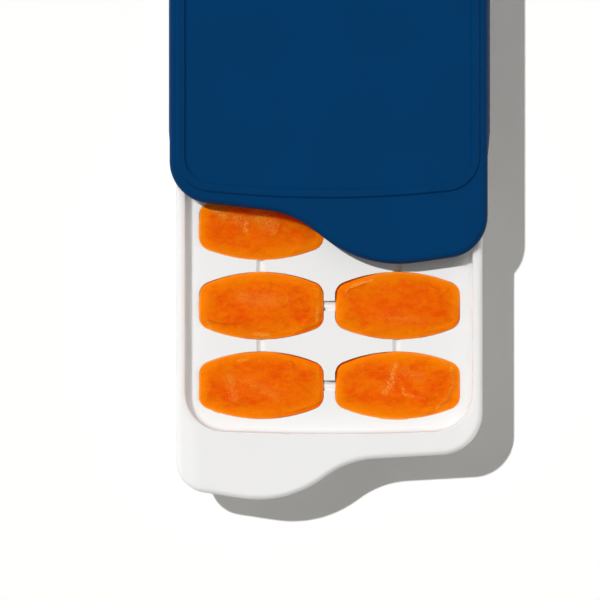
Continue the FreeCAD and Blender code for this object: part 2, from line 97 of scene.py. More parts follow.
class TrayPlastic(bpy.types.PropertyGroup):
    white: colour("White", "Colour of the tray's plastic", (0.842, 0.842, 0.842))
    warm_white: colour(
        "Warm white", "Colour where the plastic is slightly toned", (0.836, 0.834, 0.832)
    )
    roughness: share("Roughness", "Roughness of the moulded surface", 0.42)
    edge_radius: length("Edge radius", "Rounding of the wells' and channels' edges", 0.2 * MM)
    channel_depth: length("Channel depth", "Link channel's floor below the deck", 1.45 * MM)
    channel_floor: length(
        "Channel floor", "Width of a link channel's floor, between its sloping sides", 1.0 * MM
    )
    grain: length("Grain", "Height of the moulded surface's fine grain", 0.003 * MM)
    bleed: length("Bleed", "How far light spreads inside the thick plastic", 4.0 * MM)
    bleed_from: length(
        "Bleed from", "Where the thick plastic begins, from the tray's middle line", 50.0 * MM
    )
    bleed_run: length("Bleed run", "Where it begins to where it is thickest", 6.0 * MM)


class CoverPlastic(bpy.types.PropertyGroup):
    navy: colour("Navy", "Colour of the cover's plastic", (0.0006, 0.0385, 0.130))
    deep_navy: colour(
        "Deep navy", "Colour where the plastic is slightly toned", (0.0006, 0.0365, 0.124)
    )
    roughness: share("Roughness", "Roughness of the moulded surface", 0.5)
    edge_radius: length("Edge radius", "Rounding of the bead's and rails' edges", 0.3 * MM)
    grain: length("Grain", "Height of the moulded surface's fine grain", 0.004 * MM)


class FrozenPuree(bpy.types.PropertyGroup):
    orange: colour("Orange", "Colour of the puree", (0.88, 0.180, 0.0006))
    rim_orange: colour(
        "Rim orange", "Colour where the puree thins out towards the wall", (0.89, 0.235, 0.001)
    )
    red_orange: colour("Red orange", "Colour of the denser patches", (0.80, 0.072, 0.0002))
    film: colour("Film", "Colour of the thin film that covers the well's lip", (0.95, 0.38, 0.08))
    # also the colour of the painted highlights along some folds' edges
    frost_and_ridge_highlight: colour("Frost", "Colour of the frosted specks", (0.92, 0.40, 0.07))
    crown: length("Crown", "Middle of the top above the deck", 0.55 * MM)
    contact: length(
        "Contact", "Room beside the frame's portion, which the puree takes up", 0.27 * MM
    )
    full_rim: length(
        "Full rim", "How far the puree covers the well's lip where the well is full", 0.38 * MM
    )
    low_rim: length("Low rim", "Rim below the deck where the puree is lowest", 2.0 * MM)
    wall_film: length(
        "Wall film", "Deck down to the film that clings to the wall above a low rim", 0.15 * MM
    )
    shoulder: length("Shoulder", "Width of the rounded shoulder inside the rim", 1.8 * MM)
    swell: length("Swell", "Height of the lumps and hollows", 0.28 * MM)
    ripple: length("Ripple", "Height of the fine ripples", 0.13 * MM)
    lap: length("Lap", "Height of a fold's edge", 0.75 * MM)
    bleed: length("Bleed", "How far red light spreads inside the puree", 12.0 * MM)


class Studio(bpy.types.PropertyGroup):
    lean_x: number("Lean across", "Shift of a shadow along X for each metre of height", 0.42)
    lean_y: number("Lean along", "Shift of a shadow along Y for each metre of height", -0.334)
    key: number("Key", "Strength of the key light", 2.65)
    fill: number("Fill", "Strength of the light from all round", 0.30)
    fill_tint: colour("Fill tint", "Colour of the light from all round", (1.0, 0.98, 0.93))
    fill_lean: bpy.props.FloatVectorProperty(
        name="Fill lean",
        description="Side that the light from all round is strongest on",
        default=(0.45, 0.35, 0.82),
    )
    softness: number(
        "Softness", "Angle that the key light fills", math.radians(1.4), subtype="ANGLE"
    )
    floor: colour("Floor", "Colour of the floor", (0.975, 0.975, 0.970))
    view_width: length("View width", "Width that the picture takes in, at the rim's height", 0.240)
    view_x: number("View X", "Middle of the picture, along X", -0.0115, unit="LENGTH")
    view_y: number("View Y", "Middle of the picture, along Y", -0.1087, unit="LENGTH")
    view_distance: length("View distance", "Camera to the rim's height", 2.6)
    view_tilt: number(
        "View tilt", "Camera's lean towards the right side", math.radians(2.75), subtype="ANGLE"
    )


# ---- working in edit mode

SAME_POINT = 0.004 * MM
SAME_LEVEL = 0.02 * MM
SAME_FACE = math.radians(0.4)
ROUNDED_TURN = math.radians(38)  # edges that turn by more are rounded
SHARP_TURN = math.radians(40)  # edges that still turn by more are shaded sharp
MIDDLE_CHANNEL_END = 4.0 * MM  # the channels over the tray's middle line end within this of it


def select_only(piece):
    bpy.ops.object.select_all(action="DESELECT")
    piece.select_set(True)
    bpy.context.view_layer.objects.active = piece


def merged_copy(node, name):
    """A piece shaped like a frame node, its loose triangles joined and its flat faces whole."""
    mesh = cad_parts[node].data.copy()
    mesh.name = name
    mesh.materials.clear()
    piece = bpy.data.objects.new(name, mesh)
    bpy.context.scene.collection.objects.link(piece)
    select_only(piece)
    if mesh.has_custom_normals:
        bpy.ops.mesh.customdata_custom_splitnormals_clear()
    bpy.ops.object.mode_set(mode="EDIT")
    bpy.ops.mesh.select_all(action="SELECT")
    bpy.ops.mesh.remove_doubles(threshold=SAME_POINT)
    bpy.ops.mesh.dissolve_limited(angle_limit=SAME_FACE)
    bpy.ops.object.mode_set(mode="OBJECT")
    return piece


def round_edges(piece, radius, clamp):
    """Rounds the edges that turn sharply, and shades the rest smooth."""
    select_only(piece)
    bevel = piece.modifiers.new("rounding", "BEVEL")
    bevel.width = radius
    bevel.segments = 3
    bevel.limit_method = "ANGLE"
    bevel.angle_limit = ROUNDED_TURN
    bevel.use_clamp_overlap = clamp
    bevel.miter_outer = "MITER_ARC"
    bpy.ops.object.modifier_apply(modifier=bevel.name)
    bpy.ops.object.shade_smooth_by_angle(angle=SHARP_TURN)
    weights = piece.modifiers.new("weights", "WEIGHTED_NORMAL")
    weights.keep_sharp = True
    weights.weight = 100
    bpy.ops.object.modifier_apply(modifier=weights.name)


def frame_deck(node):
    """Height of the tray's deck: the portions' nodes stand a little above it."""
    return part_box(node)[1].z - FRAME_PORTION_RISE


def slope_channels(piece, depth, floor_width):
    """Brings the link channels' floors up and narrows them, so that their sides slope."""
    low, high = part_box("portion_row1_left")
    column = (low.x + high.x) / 2
    first_row = (low.y + high.y) / 2
    row_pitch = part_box("portion_row2_left")[0].y - low.y
    deck = frame_deck("portion_row1_left")
    narrowing = floor_width / FRAME_CHANNEL_WIDTH
    for vertex in piece.data.vertices:
        x, y, z = vertex.co
        if abs(z - deck + FRAME_CHANNEL_DEPTH) > SAME_LEVEL:
            continue
        if abs(x) > MIDDLE_CHANNEL_END:
            middle = math.copysign(column, x)
            x = middle + narrowing * (x - middle)
        else:
            middle = first_row + row_pitch * round((y - first_row) / row_pitch)
            y = middle + narrowing * (y - middle)
        vertex.co = (x, y, deck - depth)


def place_on_body(piece, material, body, node):
    piece.data.materials.clear()
    piece.data.materials.append(material)
    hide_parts(node)
    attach(piece, body)


# ---- materials


class Nodes:
    """A material's node tree, with short ways to add the nodes that the finishes share."""

    MIX_COLOURS, MIX_RESULT = (6, 7), 2  # the Mix node's colour sockets, which share their names

    def __init__(self, name):
        self.material = bpy.data.materials.new(name)
        self.material.use_nodes = True
        self.tree = self.material.node_tree
        self.shader = self.tree.nodes["Principled BSDF"]
        self.place = self.tree.nodes.new("ShaderNodeTexCoord").outputs["Object"]

    def link(self, output, socket):
        self.tree.links.new(output, socket)

    def noise(self, size, detail=2.0, roughness=0.5, distortion=0.0, stretch=(1, 1, 1)):
        """Noise whose features are about as large as size times stretch, from 0 to 1."""
        spread = self.tree.nodes.new("ShaderNodeMapping")
        spread.inputs["Scale"].default_value = [1 / s for s in stretch]
        self.link(self.place, spread.inputs["Vector"])
        node = self.tree.nodes.new("ShaderNodeTexNoise")
        node.inputs["Scale"].default_value = 1.0 / size
        node.inputs["Detail"].default_value = detail
        node.inputs["Roughness"].default_value = roughness
        node.inputs["Distortion"].default_value = distortion
        self.link(spread.outputs["Vector"], node.inputs["Vector"])
        return node.outputs["Fac"]

    def steps(self, value, low, high, to_low=0.0, to_high=1.0):
        """Takes low..high smoothly to to_low..to_high."""
        node = self.tree.nodes.new("ShaderNodeMapRange")
        node.interpolation_type = "SMOOTHSTEP"
        for socket, size in zip(
            ("From Min", "From Max", "To Min", "To Max"), (low, high, to_low, to_high)
        ):
            node.inputs[socket].default_value = size
        self.link(value, node.inputs["Value"])
        return node.outputs["Result"]

    def maths(self, operation, first, second):
        node = self.tree.nodes.new("ShaderNodeMath")
        node.operation = operation
        node.use_clamp = operation != "ADD"
        for socket, value in zip(node.inputs, (first, second)):
            if isinstance(value, float):
                socket.default_value = value
            else:
                self.link(value, socket)
        return node.outputs["Value"]

    def mix(self, factor, first, second):
        node = self.tree.nodes.new("ShaderNodeMix")
        node.data_type = "RGBA"
        self.link(factor, node.inputs["Factor"])
        for number, value in zip(self.MIX_COLOURS, (first, second)):
            if isinstance(value, bpy.types.NodeSocket):
                self.link(value, node.inputs[number])
            else:
                node.inputs[number].default_value = (*value, 1.0)
        return node.outputs[self.MIX_RESULT]

    def attribute(self, name):
        node = self.tree.nodes.new("ShaderNodeAttribute")
        node.attribute_name = name
        return node.outputs["Fac"]

    def bump(self, heights):
        """Bumps one on the other, each of a height from 0 to 1 and its size."""
        normal = None
        for height, size in heights:
            node = self.tree.nodes.new("ShaderNodeBump")
            node.inputs["Distance"].default_value = size
            self.link(height, node.inputs["Height"])
            if normal:
                self.link(normal, node.inputs["Normal"])
            normal = node.outputs["Normal"]
        self.link(normal, self.shader.inputs["Normal"])


def moulded_plastic(name, main, toned, roughness, grain, gloss):
    """Satin injection moulding: a slight tone, a fine spark grain and a shallow orange peel."""
    nodes = Nodes(name)
    tone = nodes.steps(nodes.noise(30 * MM, detail=3.0), 0.35, 0.65)
    nodes.link(nodes.mix(tone, main, toned), nodes.shader.inputs["Base Color"])
    fine = nodes.noise(0.45 * MM, detail=2.0, roughness=0.6)
    peel = nodes.noise(4 * MM, detail=1.0)
    uneven = 0.05
    satin = nodes.steps(fine, 0.3, 0.7, roughness - uneven, roughness + uneven)
    nodes.link(satin, nodes.shader.inputs["Roughness"])
    nodes.bump(((peel, 2 * grain), (fine, grain)))
    nodes.shader.inputs["Specular IOR Level"].default_value = gloss
    return nodes


def let_light_through(nodes, bleed, start, run):
    """Softens the shadows on the long sides, where the plastic is thick enough to glow."""
    parts = nodes.tree.nodes.new("ShaderNodeSeparateXYZ")
    nodes.link(nodes.place, parts.inputs["Vector"])
    out = nodes.tree.nodes.new("ShaderNodeMath")
    out.operation = "ABSOLUTE"
    nodes.link(parts.outputs["X"], out.inputs[0])
    weight = nodes.steps(out.outputs["Value"], start, start + run)
    nodes.link(weight, nodes.shader.inputs["Subsurface Weight"])
    nodes.shader.inputs["Subsurface Radius"].default_value = (1.0, 1.0, 0.98)
    nodes.shader.inputs["Subsurface Scale"].default_value = bleed


def puree_finish(look):
    """Frozen puree: denser red patches, a yellower rim, a film on the lip and frosted specks, with
    painted shade along the folds' creases and painted highlights on their edges.
    """
    nodes = Nodes("frozen_puree")
    patches = nodes.noise(9 * MM, detail=2.0, roughness=0.55, distortion=0.8, stretch=(1.4, 1, 1))
    smear = nodes.noise(1.8 * MM, detail=3.0, roughness=0.6, distortion=0.5, stretch=(1.7, 1, 1))
    speck = nodes.noise(0.7 * MM, detail=2.0, roughness=0.7)
    inside = nodes.attribute("rim_distance")  # in millimetres

    # density also carries the folds' painted shade, above 0, and painted highlight, below 0
    density = nodes.attribute("density")
    for source, low, high, to_low, to_high in (
        (patches, 0.36, 0.66, 0.06, 0.52),
        (smear, 0.35, 0.65, -0.24, 0.24),
        (inside, 1.5, 8.0, -0.12, 0.06),
    ):
        density = nodes.maths("ADD", nodes.steps(source, low, high, to_low, to_high), density)
    density = nodes.maths("MINIMUM", density, 1.0)

    # redder where denser and where the folds' painted shade lies, less red where their painted
    # highlight lies
    body = nodes.mix(density, look.orange, look.red_orange)
    for source, low, high, to_low, to_high, tint in (
        (inside, 0.4, 4.5, 0.6, 0.0, look.rim_orange),
        (speck, 0.50, 0.70, 0.0, 0.40, look.rim_orange),
        (speck, 0.46, 0.34, 0.0, 0.20, look.red_orange),
    ):
        body = nodes.mix(nodes.steps(source, low, high, to_low, to_high), body, tint)
    sparkle = nodes.steps(speck, 0.38, 0.66, 0.1, 0.85)
    # frost specks, and painted highlights where a streak runs along a fold's edge
    body = nodes.mix(nodes.maths("MULTIPLY", nodes.attribute("frost_and_ridge_highlight"), sparkle), body, look.frost_and_ridge_highlight)
    lip = nodes.steps(inside, 0.1, 1.2, 1.0, 0.0)
    body = nodes.mix(nodes.maths("MULTIPLY", nodes.attribute("film"), lip), body, look.film)
    nodes.link(body, nodes.shader.inputs["Base Color"])

    nodes.link(nodes.steps(smear, 0.3, 0.7, 0.42, 0.6), nodes.shader.inputs["Roughness"])
    nodes.bump(((smear, 0.14 * MM), (speck, 0.05 * MM)))
    nodes.shader.inputs["Specular IOR Level"].default_value = 0.06
    nodes.link(nodes.steps(inside, 0.9, 7.5), nodes.shader.inputs["Subsurface Weight"])
    nodes.shader.inputs["Subsurface Radius"].default_value = (1.0, 0.025, 0.008)
    nodes.shader.inputs["Subsurface Scale"].default_value = look.bleed
    return nodes.material


# ---- the frozen puree

# A portion's grid: its faces along X and Y, and the shares of their spacing that are even and that
# narrow towards the rim, where the relief is finest.
FACES_ALONG, FACES_ACROSS = 150, 90
EVEN, CROWDED = 0.55, 0.45
ON_FACE = 0.01 * MM
SIDE_BOW = 0.95  # distance from a well's bowed side, as a share of the distance along Y
CRISP_TURN = math.radians(60)  # edges that turn by more are shaded sharp

# The rim: a full one's height above the deck, how far it wanders between full and low, and the
# share of the room beside it that a low one leaves open.
RIM_RISE = 0.03 * MM
RIM_WANDER, RIM_WANDER_BIAS, RIM_WANDER_SIZE = 0.2, -0.05, 5 * MM
LOW_RIM_GAP = 0.75
FILM_FOOT = 0.12 * MM  # over which the film on the wall runs out
SHOULDER_FULLNESS = 1.6

# The top: its sag towards a low rim, by the rim's depth, and how far in from the rim each kind of
# relief reaches its full height.
SAG = 0.25
CROWN_RUN, SWELL_RUN, RIPPLE_RUN = 6.0 * MM, 3.0 * MM, 1.5 * MM

# The relief's noise: its size, and the fall, size ratio and count of its octaves.
SWELL_SIZE, SWELL_OCTAVES = 9 * MM, (0.8, 2.0, 3)
RIPPLE_SIZE, RIPPLE_OCTAVES = 2.0 * MM, (0.7, 2.0, 3)
RIPPLE_STRETCH = 2.2  # along X

# Signs along X and Y for each use of the marks: as they are, turned by half a turn, and mirrored.
TURNS = ((1, 1), (-1, -1), (-1, 1))


def portion_form(node):
    """Middle, half length, half width along the length, and underside of a portion's frame node."""
    low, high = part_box(node)
    middle = (low + high) / 2
    half_length = (high.x - low.x) / 2
    points = np.array([v.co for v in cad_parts[node].data.vertices])
    mouth = points[points[:, 2] > high.z - ON_FACE]
    outline = sorted({(round(x - middle.x, 7), round(abs(y - middle.y), 7)) for x, y, _ in mouth})
    reach = [x for x, _ in outline]
    width = [y for _, y in outline]
    end_foot = points[abs(points[:, 0] - high.x) < ON_FACE][:, 2].min()
    sag = end_foot - low.z
    floor_radius = (half_length**2 + sag**2) / (2 * sag)

    def half_width(x):
        return float(np.interp(x, reach, width))

    def underside(x):
        return low.z + floor_radius - math.sqrt(max(floor_radius**2 - x**2, 0.0))

    return middle, half_length, half_width, underside


def smooth(value, low, high):
    """0 below low, 1 above high, and a smooth step between them."""
    t = min(1.0, max(0.0, (value - low) / (high - low)))
    return t * t * (3 - 2 * t)


def beside(x, y, path):
    """Distance of a point from a path, and the side that it is on: left is -1 and right is 1."""
    nearest, side = math.inf, 1
    for (ax, ay), (bx, by) in zip(path, path[1:]):
        dx, dy = bx - ax, by - ay
        t = ((x - ax) * dx + (y - ay) * dy) / (dx * dx + dy * dy)
        t = min(1.0, max(0.0, t))
        gap = math.hypot(x - ax - t * dx, y - ay - t * dy)
        if gap < nearest:
            nearest = gap
            side = 1 if dx * (y - ay) - dy * (x - ax) < 0 else -1
    return nearest, side


class Marks:
    """What the spoon left on one portion, in millimetres from the middle of its top."""

    RIM_PARTS = 8
    FOLD_END = 2.5  # a fold rises over this length from its ends
    # the higher side of a fold, which falls away gently, with a painted highlight on it
    EDGE_WIDTH, EDGE_PALE_WIDTH, EDGE_PALE = 3.0, 2.2, 1.1
    # its lower side, which drops at once into a shallow crease, with painted shade in red along the
    # crease
    DROP_WIDTH, CREASE_WIDTH, CREASE_DEPTH = 0.5, 1.6, 0.35
    CREASE_RED_WIDTH, CREASE_RED = 1.5, 1.9
    # a dense patch, whole up to the first share of its size and gone at the second
    DENSE_CORE, DENSE_END, DENSE_STRENGTH = 0.4, 1.2, 0.9

    def __init__(self, low_rim, laps=(), streaks=(), dense=()):
        self.low_rim = low_rim  # share by which each part is low, from +X by way of +Y
        self.laps = laps  # edges of folds, each a path whose left side lies higher
        self.streaks = streaks  # frosted streaks and painted highlights along some folds' edges, each a width, a strength and a path
        self.dense = dense  # denser patches: x, y, half length, half width

    def low(self, across, along):
        """Share by which the rim is low in a direction, both parts of it from -1 to 1."""
        turn = math.atan2(along, across) / (2 * math.pi / self.RIM_PARTS) % self.RIM_PARTS
        step = int(turn)
        start, end = self.low_rim[step], self.low_rim[(step + 1) % self.RIM_PARTS]
        return start + (end - start) * smooth(turn - step, 0.0, 1.0)

    def fold(self, x, y):
        """Height of the folds at a point, 1 on an edge, and their painted light: above 0 painted
        shade in red along the crease, below it a painted highlight on the higher side.
        """
        height = tone = 0.0
        for path in self.laps:
            gap, side = beside(x, y, path)
            to_end = min(math.hypot(x - px, y - py) for px, py in (path[0], path[-1]))
            rise = smooth(to_end, 0.0, self.FOLD_END)
            if side < 0:
                height += rise * math.exp(-gap / self.EDGE_WIDTH)
                # painted highlight: the higher side of a fold is made paler
                tone -= self.EDGE_PALE * rise * math.exp(-gap / self.EDGE_PALE_WIDTH)
            else:
                crease = self.CREASE_DEPTH * math.exp(-gap / self.CREASE_WIDTH)
                height += rise * (math.exp(-gap / self.DROP_WIDTH) - crease)
                # painted shade: the crease of a fold is made redder
                tone += self.CREASE_RED * rise * math.exp(-gap / self.CREASE_RED_WIDTH)
        return height, tone

    def frost_and_ridge_highlight(self, x, y):
        total = 0.0
        for width, strength, path in self.streaks:
            gap, _ = beside(x, y, path)
            total = max(total, strength * (1.0 - smooth(gap, 0.0, width)))
        return total

    def density(self, x, y):
        total = 0.0
        for px, py, reach, width in self.dense:
            out = math.hypot((x - px) / reach, (y - py) / width)
            total = max(total, 1.0 - smooth(out, self.DENSE_CORE, self.DENSE_END))
        return self.DENSE_STRENGTH * total


MARKS = (
    Marks(
        (0.75, 1.0, 0.45, 0.15, 0.0, 0.1, 0.45, 1.0),
        laps=(
            [(-22.2, -3.8), (-19.9, -2.1), (-14.7, -5.5), (-11.3, -6.7), (-4.4, -8.4)],
            [(8.1, 1.4), (6.5, 2.2), (4.6, 4.2)],
            [(13.5, 5.0), (12.0, 9.2), (5.0, 10.6)],
        ),
        streaks=(
            (3.0, 0.5, [(-12.7, 3.0), (-10.7, -5.0)]),
            (4.0, 0.3, [(-6.0, 2.0), (6.0, -4.0)]),
            (1.0, 0.6, [(-9.0, 9.5), (-5.5, 10.6)]),
        ),
        dense=(
            (-12.7, 8.2, 2.0, 1.4),
            (12.4, 8.2, 3.6, 2.6),
            (-17.0, -6.0, 6.0, 2.6),
            (2.0, 4.5, 9.0, 5.0),
            (0.0, -7.0, 9.0, 2.4),
        ),
    ),
    Marks(
        (0.45, 0.3, 0.45, 1.0, 0.55, 0.25, 0.0, 0.45),
        laps=(
            [(15.6, -9.1), (20.1, -5.1), (22.4, 0.6), (21.3, 7.5)],
            [(9.5, -9.5), (1.0, -10.4), (-4.2, -8.0), (-4.8, -5.0)],
        ),
        streaks=(
            (1.5, 1.0, [(-0.4, 8.1), (-1.9, 5.8), (-1.9, 2.3), (-3.6, 1.2)]),
            (2.6, 1.0, [(-1.9, 2.3), (-3.6, -0.6), (-4.7, -2.2)]),
            (1.0, 0.9, [(1.9, -1.1), (2.4, -3.4), (6.4, -4.2)]),
            (0.8, 0.5, [(6.4, -4.2), (11.0, -5.1)]),
            (3.5, 0.35, [(3.0, 5.0), (9.0, 3.0)]),
            # this streak runs along the first fold's edge: a painted highlight on its ridge, in the
            # frost's colour
            (0.8, 0.7, [(21.3, 7.5), (22.4, 0.6), (20.1, -5.1), (15.6, -9.1)]),
        ),
        dense=(
            (3.3, -7.3, 8.6, 4.2),
            (-14.5, -3.0, 5.5, 3.5),
            (7.0, 1.0, 4.0, 3.0),
            (13.0, 4.0, 6.0, 3.0),
        ),
    ),
    Marks(
        (0.6, 0.75, 0.35, 0.5, 0.0, 0.15, 0.6, 0.9),
        laps=(
            [
                (5.2, -2.0),
                (7.8, -1.0),
                (10.2, 0.6),
                (11.0, 2.3),
                (10.5, 4.6),
                (8.2, 6.3),
                (5.2, 8.3),
            ],
            [(-24.0, -5.0), (-14.0, -7.2), (-2.0, -5.6)],
            [(21.0, 5.0), (20.5, -4.0), (15.0, -9.0)],
        ),
        streaks=(
            # this streak lies on the first fold's edge: a painted highlight on its ridge, in the
            # frost's colour
            (0.7, 0.9, [(10.8, 0.8), (10.8, 3.4)]),
            (4.5, 0.4, [(-8.0, 3.0), (5.0, 2.0)]),
            (1.2, 0.8, [(-2.5, -11.0), (3.0, -12.0)]),
            (1.0, 0.7, [(22.0, -6.0), (22.4, -1.0)]),
            (0.8, 0.6, [(-20.0, -9.0), (-22.0, -5.0)]),
        ),
        dense=(
            (7.5, 9.4, 6.0, 1.6),
            (12.8, 0.4, 2.6, 4.0),
            (-9.0, -6.2, 11.0, 2.2),
            (6.0, -5.0, 7.0, 2.6),
            (20.0, -1.0, 2.0, 5.0),
        ),
    ),
    Marks(
        (0.5, 0.4, 0.3, 1.0, 0.4, 0.5, 0.5, 0.7),
        laps=(
            [(-21.5, 2.5), (-19.5, 6.4), (-11.0, 9.4)],
            [(18.0, 4.0), (12.0, 8.6), (4.0, 10.0)],
        ),
        streaks=(
            (1.1, 0.9, [(-18.7, 7.5), (-15.3, 8.9), (-12.4, 9.8), (-10.1, 10.0)]),
            (0.7, 0.6, [(-20.2, 7.0), (-20.0, 4.6)]),
            (3.0, 0.25, [(-6.0, -4.0), (8.0, -6.0)]),
        ),
        dense=(
            (-7.0, 4.0, 10.0, 4.0),
            (13.3, 8.2, 3.0, 1.0),
            (13.3, 2.8, 3.0, 0.9),
            (-2.0, -3.0, 14.0, 2.6),
            (16.0, 5.5, 4.0, 2.0),
        ),
    ),
    Marks(
        (0.7, 0.5, 0.5, 0.3, 0.0, 0.1, 0.5, 0.65),
        laps=(
            [(1.8, -7.1), (5.0, -4.8), (7.0, -2.2), (7.6, 0.6), (5.5, 4.5)],
            [(15.0, 6.0), (18.0, 0.0), (14.0, -7.0)],
        ),
        streaks=(
            (1.6, 1.0, [(-5.9, 1.4), (-6.2, -2.0)]),
            (2.4, 0.8, [(-18.5, 6.8), (-14.5, 4.0)]),
            (3.4, 0.6, [(-10.2, 2.7), (-8.0, 2.0)]),
            (5.0, 0.5, [(-2.0, 6.0), (4.0, 0.0)]),
        ),
        dense=(
            (9.5, -4.5, 7.0, 4.0),
            (-16.0, -7.0, 4.5, 1.8),
            (15.5, 2.0, 3.0, 4.0),
            (2.0, -9.0, 8.0, 2.0),
        ),
    ),
)


def marks_of(row, column):
    """One of the sets of marks, and the signs that turn it for the rows further back."""
    use, number = divmod(len(COLUMNS) * (row - 1) + COLUMNS.index(column), len(MARKS))
    return MARKS[number], *TURNS[use]


def grid_slab(name):
    """A slab with a fine grid above and below, from -1 to 1 along X and Y and from -1 to 0 in Z."""
    bpy.ops.object.select_all(action="DESELECT")
    bpy.ops.mesh.primitive_grid_add(
        x_subdivisions=FACES_ALONG, y_subdivisions=FACES_ACROSS, size=2
    )
    piece = bpy.context.object
    piece.name = piece.data.name = name
    bpy.ops.object.mode_set(mode="EDIT")
    bpy.ops.mesh.extrude_region_move(TRANSFORM_OT_translate={"value": (0, 0, -1)})
    bpy.ops.mesh.select_all(action="SELECT")
    bpy.ops.mesh.normals_make_consistent(inside=False)
    bpy.ops.object.mode_set(mode="OBJECT")
    return piece


def crowded(t):
    """Takes -1..1 to itself, closer towards both ends."""
    return EVEN * t + CROWDED * math.sin(t * math.pi / 2)


def top_height(look, here, inset, rise, low, fold):
    """Height of a portion's top above the deck, at a place that lies that far inside its rim."""
    shoulder = 1.0 - (1.0 - rise) ** SHOULDER_FULLNESS
    lumps = noise.fractal(here / SWELL_SIZE, *SWELL_OCTAVES)
    stretched = Vector((here.x / RIPPLE_STRETCH, here.y, 0.0))
    ripples = noise.fractal(stretched / RIPPLE_SIZE, *RIPPLE_OCTAVES)
    rim = RIM_RISE - low * look.low_rim
    top = look.crown * smooth(inset, 0.0, CROWN_RUN) - SAG * low * look.low_rim
    z = rim + (top - rim) * shoulder
    z += low * (-look.wall_film - rim) * math.exp(-inset / FILM_FOOT)
    z += smooth(inset, 0.0, SWELL_RUN) * look.swell * lumps
    z += smooth(inset, 0.0, RIPPLE_RUN) * (look.ripple * ripples + look.lap * fold)
    return z


def puree_portion(name, node, look, marks, turn_x, turn_y):
    """One portion: a barrel-shaped slab, crowned and lumpy on top and round below."""
    middle, half_length, half_width, underside = portion_form(node)
    deck = frame_deck(node)
    piece = grid_slab(name)
    count = len(piece.data.vertices)
    fields = {field: [0.0] * count for field in ("rim_distance", "film", "frost_and_ridge_highlight", "density")}
    for vertex in piece.data.vertices:
        u, v, w = vertex.co
        x = half_length * crowded(u)
        reach = half_width(x)
        y = reach * crowded(v)
        if w < -0.5:  # the underside
            vertex.co = (x + middle.x, y + middle.y, underside(x))
            continue
        here = Vector((x + middle.x, y + middle.y, 0.0))
        mx, my = turn_x * x / MM, turn_y * y / MM
        inset = min(half_length - abs(x), (reach - abs(y)) * SIDE_BOW)
        rise = min(1.0, inset / look.shoulder)
        low = marks.low(turn_x * x / half_length, turn_y * y / reach) + RIM_WANDER_BIAS
        low = min(1.0, max(0.0, low + RIM_WANDER * noise.noise(here / RIM_WANDER_SIZE)))
        # tone is the folds' painted shade and painted highlight, added to the density below
        fold, tone = marks.fold(mx, my)
        z = top_height(look, here, inset, rise, low, fold)
        grown = look.contact * (1.0 - LOW_RIM_GAP * smooth(low, 0.1, 0.7))
        lip = (look.full_rim + inset) * (1.0 - low) * (1.0 - rise) ** 2
        if max(abs(u), abs(v)) > 0.999:  # the outermost ring, which turns down to the wall
            lip = 0.0
            z = min(z, -look.wall_film)
        at_end = half_length - abs(x) < reach - abs(y)
        out_x = grown * x / half_length + (math.copysign(lip, x) if at_end else 0.0)
        out_y = grown * y / half_width(0.0) + (0.0 if at_end else math.copysign(lip, y))
        vertex.co = (here.x + out_x, here.y + out_y, deck + z)
        fields["rim_distance"][vertex.index] = inset / MM
        fields["film"][vertex.index] = (1.0 - low) ** 2
        # frost specks, and painted highlights along some folds' edges
        fields["frost_and_ridge_highlight"][vertex.index] = marks.frost_and_ridge_highlight(mx, my)
        # the density attribute carries the denser patches and the folds' painted shade and
        # highlight
        fields["density"][vertex.index] = marks.density(mx, my) + tone
    for field, values in fields.items():
        piece.data.attributes.new(field, "FLOAT", "POINT").data.foreach_set("value", values)
    select_only(piece)
    bpy.ops.object.shade_smooth_by_angle(angle=CRISP_TURN)
    return piece


# ---- the stage

FLOOR_SIZE = 12.0
FLOOR_DROP = 0.02 * MM  # below the tray's foot, so that the two don't share a face
FLOOR_GLOW = 0.005
FAR_CLIP = 50.0
SKY_LOW, SKY_HIGH = 0.45, 1.35  # the fill on the side that it leans from, and that it leans to


def shadowed_floor(name, tint):
    """A plain pale floor, slightly clouded, that keeps the tray's shadow."""
    nodes = Nodes(name)
    cloud = nodes.steps(nodes.noise(0.4, detail=2.0), 0.3, 0.7)
    clouded = tuple(0.995 * c for c in tint)
    nodes.link(nodes.mix(cloud, tint, clouded), nodes.shader.inputs["Base Color"])
    nodes.shader.inputs["Roughness"].default_value = 0.9
    nodes.shader.inputs["Specular IOR Level"].default_value = 0.0
    path = nodes.tree.nodes.new("ShaderNodeLightPath")
    lift = nodes.maths("MULTIPLY", path.outputs["Is Camera Ray"], FLOOR_GLOW)
    nodes.shader.inputs["Emission Color"].default_value = (1, 1, 1, 1)
    nodes.link(lift, nodes.shader.inputs["Emission Strength"])
    return nodes.material


def light_from_all_round(fill, tint, lean):
    """Soft light from all round, strongest from where lean points, and even to the camera."""
    world = bpy.data.worlds.new("soft_room")
    world.use_nodes = True
    tree = world.node_tree
    background = tree.nodes["Background"]
    background.inputs["Color"].default_value = (*tint, 1)
    path = tree.nodes.new("ShaderNodeLightPath")
    place = tree.nodes.new("ShaderNodeTexCoord")
    facing = tree.nodes.new("ShaderNodeVectorMath")
    facing.operation = "DOT_PRODUCT"
    facing.inputs[1].default_value = lean
    tree.links.new(place.outputs["Generated"], facing.inputs[0])
    sky = tree.nodes.new("ShaderNodeMapRange")
    sky.inputs["To Min"].default_value = SKY_LOW * fill
    sky.inputs["To Max"].default_value = SKY_HIGH * fill
    tree.links.new(facing.outputs["Value"], sky.inputs["Value"])
    strength = tree.nodes.new("ShaderNodeMix")
    strength.inputs["B"].default_value = 1.0
    tree.links.new(path.outputs["Is Camera Ray"], strength.inputs["Factor"])
    tree.links.new(sky.outputs["Result"], strength.inputs["A"])
    tree.links.new(strength.outputs["Result"], background.inputs["Strength"])
    bpy.context.scene.world = world


# ---- operators


